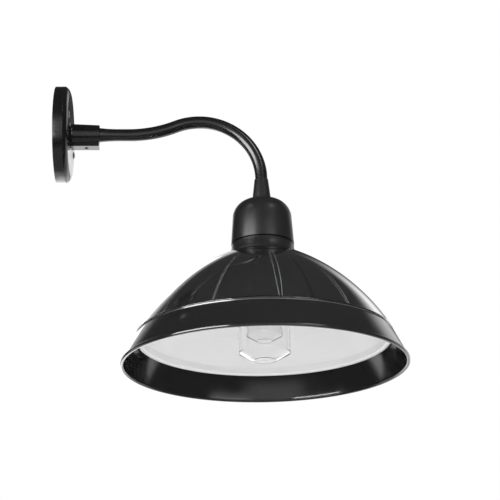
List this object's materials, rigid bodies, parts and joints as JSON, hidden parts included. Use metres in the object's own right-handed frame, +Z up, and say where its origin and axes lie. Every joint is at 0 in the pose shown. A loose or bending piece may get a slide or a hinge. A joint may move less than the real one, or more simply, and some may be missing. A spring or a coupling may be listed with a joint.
{
  "type": "solar barn light",
  "caption": "Gooseneck wall light with a solar-panelled dome shade, flared rim, white reflector and a clear screw-in lamp.",
  "frame": {"origin": "centre of the wall plate's back, on the wall, at the height of the arm's axis", "axes": "+X out of the wall along the arm, +Z up, the shade's axis runs along Z in front of the wall"},
  "size_m": [0.4422, 0.356, 0.3759],
  "materials": {
    "plate_black": "gloss",
    "arm_black": "satin",
    "cap_black": "satin",
    "steel": "satin",
    "screw_black": "satin",
    "rubber": "matte",
    "tray_grey": "matte",
    "cell_wrap": "gloss",
    "brass": "satin",
    "board_green": "satin",
    "board_part_dark": "matte",
    "cover_clear": "gloss",
    "panel_black": "gloss",
    "frame_black": "satin",
    "rim_black": "gloss",
    "reflector_white": "gloss",
    "holder_white": "satin",
    "lamp_white": "satin",
    "lamp_metal": "satin",
    "lamp_clear": "gloss",
    "led_board_white": "satin",
    "led_phosphor": "satin",
    "insulator_black": "gloss",
    "switch_black": "satin",
    "button_grey": "satin",
    "lead_red": "satin",
    "lead_black": "satin"
  },
  "bodies": {
    "wall_base": {"wall_plate": "plate_black", "plate_gasket": "rubber", "wall_bracket": "steel", "canopy_screws": "screw_black", "arm_socket": "plate_black", "socket_nut": "steel", "arm_lock_screw": "screw_black"},
    "lamp_arm": {"arm_tube": "arm_black", "arm_ferrule": "arm_black", "arm_washer": "steel", "arm_locknut": "steel", "cap_top": "cap_black", "cap_screws": "steel", "battery_tray": "tray_grey", "tray_lid": "tray_grey", "battery_cells": "cell_wrap", "cell_contacts": "brass", "cell_springs": "steel", "neck_collar": "cap_black", "neck_seal": "rubber", "cover_seal": "rubber", "control_board": "board_green", "board_screws": "steel", "board_parts": "board_part_dark", "dome_cover": "cover_clear", "solar_panels": "panel_black", "dome_frame": "frame_black", "foot_seal": "rubber", "rim_ring": "rim_black", "rim_screws": "steel", "reflector": "reflector_white", "lamp_holder": "holder_white", "holder_screws": "steel", "socket_shell": "lamp_metal", "socket_contact": "brass", "socket_ring": "lamp_white", "switch_body": "switch_black", "switch_nut": "steel", "button_spring": "steel", "panel_leads": "lead_red", "switch_leads": "lead_black", "lamp_leads": "lead_red"},
    "button": {"mode_button": "button_grey"},
    "bulb_tip": {"bulb_contact": "brass"},
    "bulb": {"bulb_insulator": "insulator_black", "bulb_base": "lamp_metal", "bulb_neck": "lamp_white", "bulb_jar": "lamp_clear", "inner_lens": "lamp_clear", "led_board": "led_board_white", "leds": "led_phosphor"}
  },
  "joints": [
    {"name": "arm_swivel", "type": "hinge", "parent": "wall_base", "child": "lamp_arm", "pos_m": [0.0185, 0, 0], "axis": [1, 0, 0], "range_deg": [-15, 15]},
    {"name": "button_press", "type": "slide", "parent": "lamp_arm", "child": "button", "axis": [0, 0, 1], "range_m": [0, 0.0015], "stiffness_N_per_m": 500, "deforming": ["button_spring"]},
    {"name": "bulb_out", "type": "slide", "parent": "lamp_arm", "child": "bulb_tip", "axis": [0, 0, -1], "range_m": [0, 0.01452]},
    {"name": "bulb_turn", "type": "hinge", "parent": "bulb_tip", "child": "bulb", "pos_m": [0.26415, 0, -0.19137], "axis": [0, 0, -1], "range_deg": [0, 1440]}
  ],
  "couplings": [
    {"joint": "bulb_turn", "follows": "bulb_out", "rad_per_m": 1730.9}
  ]
}
